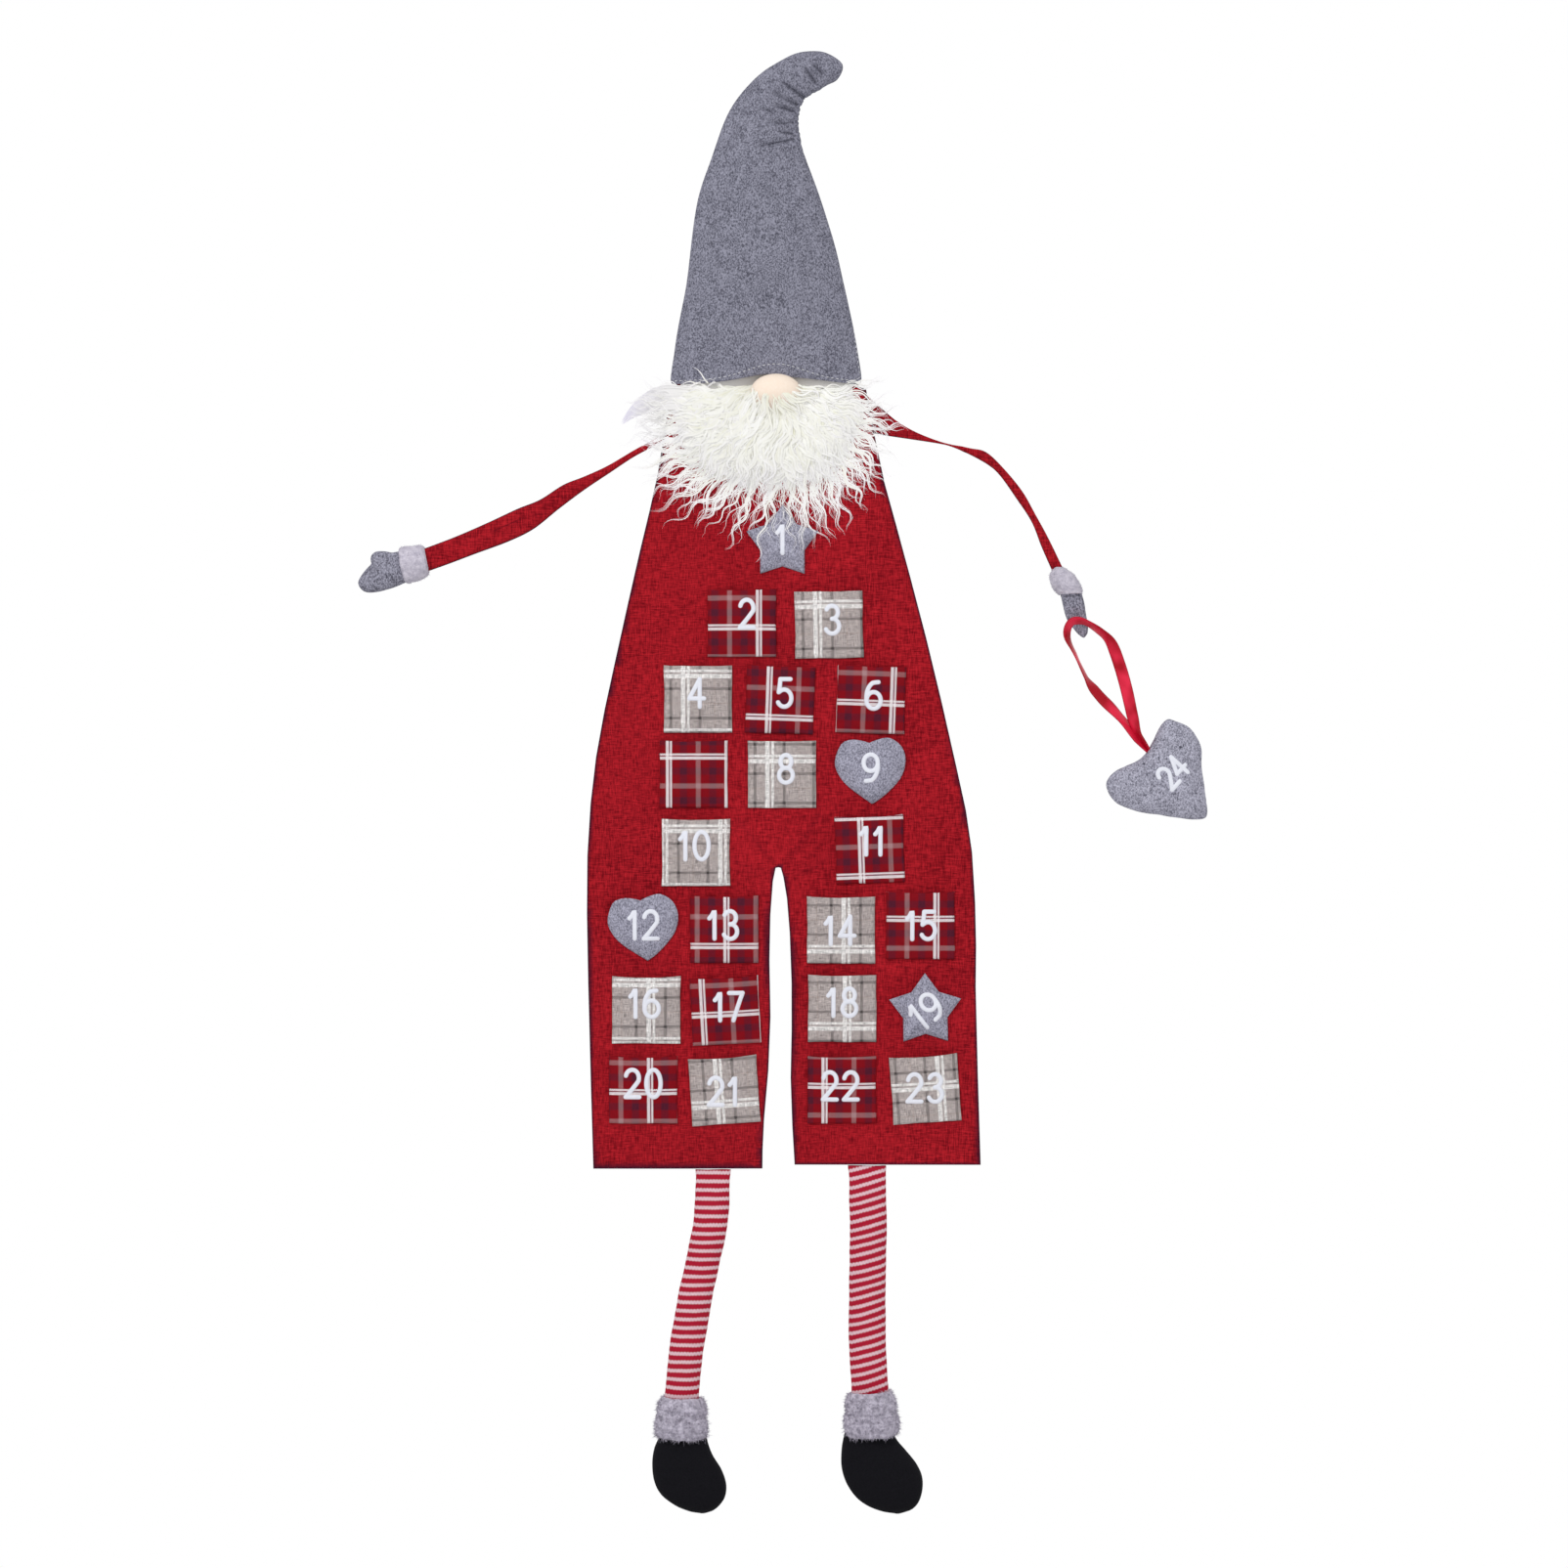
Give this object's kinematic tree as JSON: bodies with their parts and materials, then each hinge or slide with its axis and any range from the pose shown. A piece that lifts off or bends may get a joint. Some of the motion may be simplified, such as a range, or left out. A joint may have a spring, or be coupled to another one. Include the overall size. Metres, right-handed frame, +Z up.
{
  "type": "fabric advent calendar",
  "caption": "Hanging fabric countdown calendar shaped as a long-bearded gnome in a tall curled hat, with patch pockets on its trousers and a stuffed heart on a ribbon.",
  "frame": {"origin": "where a nail bears in the top of the hanging loop, behind the hat", "axes": "+Z up along the height, -Y towards the viewer, +X to the viewer's right"},
  "size_m": [0.7012, 0.052, 1.1983],
  "materials": {
    "red_linen": "coarse matte linen weave",
    "lining": "stiff bonded interlining",
    "grey_felt": "mottled wool felt",
    "wadding": "loose polyester wadding",
    "grey_tape": "flat woven tape",
    "curly_fur": "long curly faux fur",
    "skin_felt": "smooth stuffed jersey",
    "red_plaid": "woven tartan, red",
    "beige_plaid": "woven tartan, beige",
    "grey_plush": "short brushed plush",
    "striped_knit": "striped jersey knit",
    "black_fabric": "matte black fabric",
    "red_satin": "woven satin ribbon"
  },
  "bodies": {
    "calendar": {"front_panel": "red_linen", "interlining": "lining", "back_panel": "red_linen", "hat_front": "grey_felt", "hat_back": "grey_felt", "hat_wadding": "wadding", "hang_loop": "grey_tape", "beard_backing": "lining", "beard": "curly_fur", "nose": "skin_felt", "pocket_01": "grey_felt", "pocket_02": "red_plaid", "pocket_03": "beige_plaid", "pocket_04": "beige_plaid", "pocket_05": "red_plaid", "pocket_06": "red_plaid", "pocket_07": "red_plaid", "pocket_08": "beige_plaid", "pocket_09": "grey_felt", "pocket_10": "beige_plaid", "pocket_11": "red_plaid", "pocket_12": "grey_felt", "pocket_13": "red_plaid", "pocket_14": "beige_plaid", "pocket_15": "red_plaid", "pocket_16": "beige_plaid", "pocket_17": "red_plaid", "pocket_18": "beige_plaid", "pocket_19": "grey_felt", "pocket_20": "red_plaid", "pocket_21": "beige_plaid", "pocket_22": "red_plaid", "pocket_23": "beige_plaid"},
    "left_arm": {"left_sleeve": "red_linen", "left_arm_cuff": "grey_plush", "left_mitten": "grey_felt"},
    "right_arm": {"right_sleeve": "red_linen", "right_arm_cuff": "grey_plush", "right_mitten": "grey_felt"},
    "ribbon_loop": {"ribbon": "red_satin"},
    "stuffed_heart": {"heart": "grey_felt"},
    "left_leg_and_boot": {"left_leg": "striped_knit", "left_boot_cuff": "grey_plush", "left_boot": "black_fabric"},
    "right_leg_and_boot": {"right_leg": "striped_knit", "right_boot_cuff": "grey_plush", "right_boot": "black_fabric"}
  },
  "joints": [
    {"name": "left_shoulder", "type": "hinge", "parent": "calendar", "child": "left_arm", "pos_m": [-0.10163, -0.01347, -0.26223], "axis": [0, 1, 0], "range_deg": [-38, 90]},
    {"name": "right_shoulder", "type": "hinge", "parent": "calendar", "child": "right_arm", "pos_m": [0.08206, -0.01347, -0.25005], "axis": [0, -1, 0], "range_deg": [-15, 90]},
    {"name": "ribbon_swing", "type": "hinge", "parent": "right_arm", "child": "ribbon_loop", "pos_m": [0.2398, -0.01347, -0.412], "axis": [0, 1, 0], "range_deg": [-60, 40]},
    {"name": "heart_swing", "type": "hinge", "parent": "ribbon_loop", "child": "stuffed_heart", "pos_m": [0.29896, -0.01347, -0.51604], "axis": [0, 1, 0], "range_deg": [-20, 45]},
    {"name": "left_hip", "type": "hinge", "parent": "calendar", "child": "left_leg_and_boot", "pos_m": [-0.05699, -0.01347, -0.8626], "axis": [-1, 0, 0], "range_deg": [-60, 90]},
    {"name": "right_hip", "type": "hinge", "parent": "calendar", "child": "right_leg_and_boot", "pos_m": [0.06955, -0.01347, -0.8594], "axis": [-1, 0, 0], "range_deg": [-60, 90]}
  ]
}
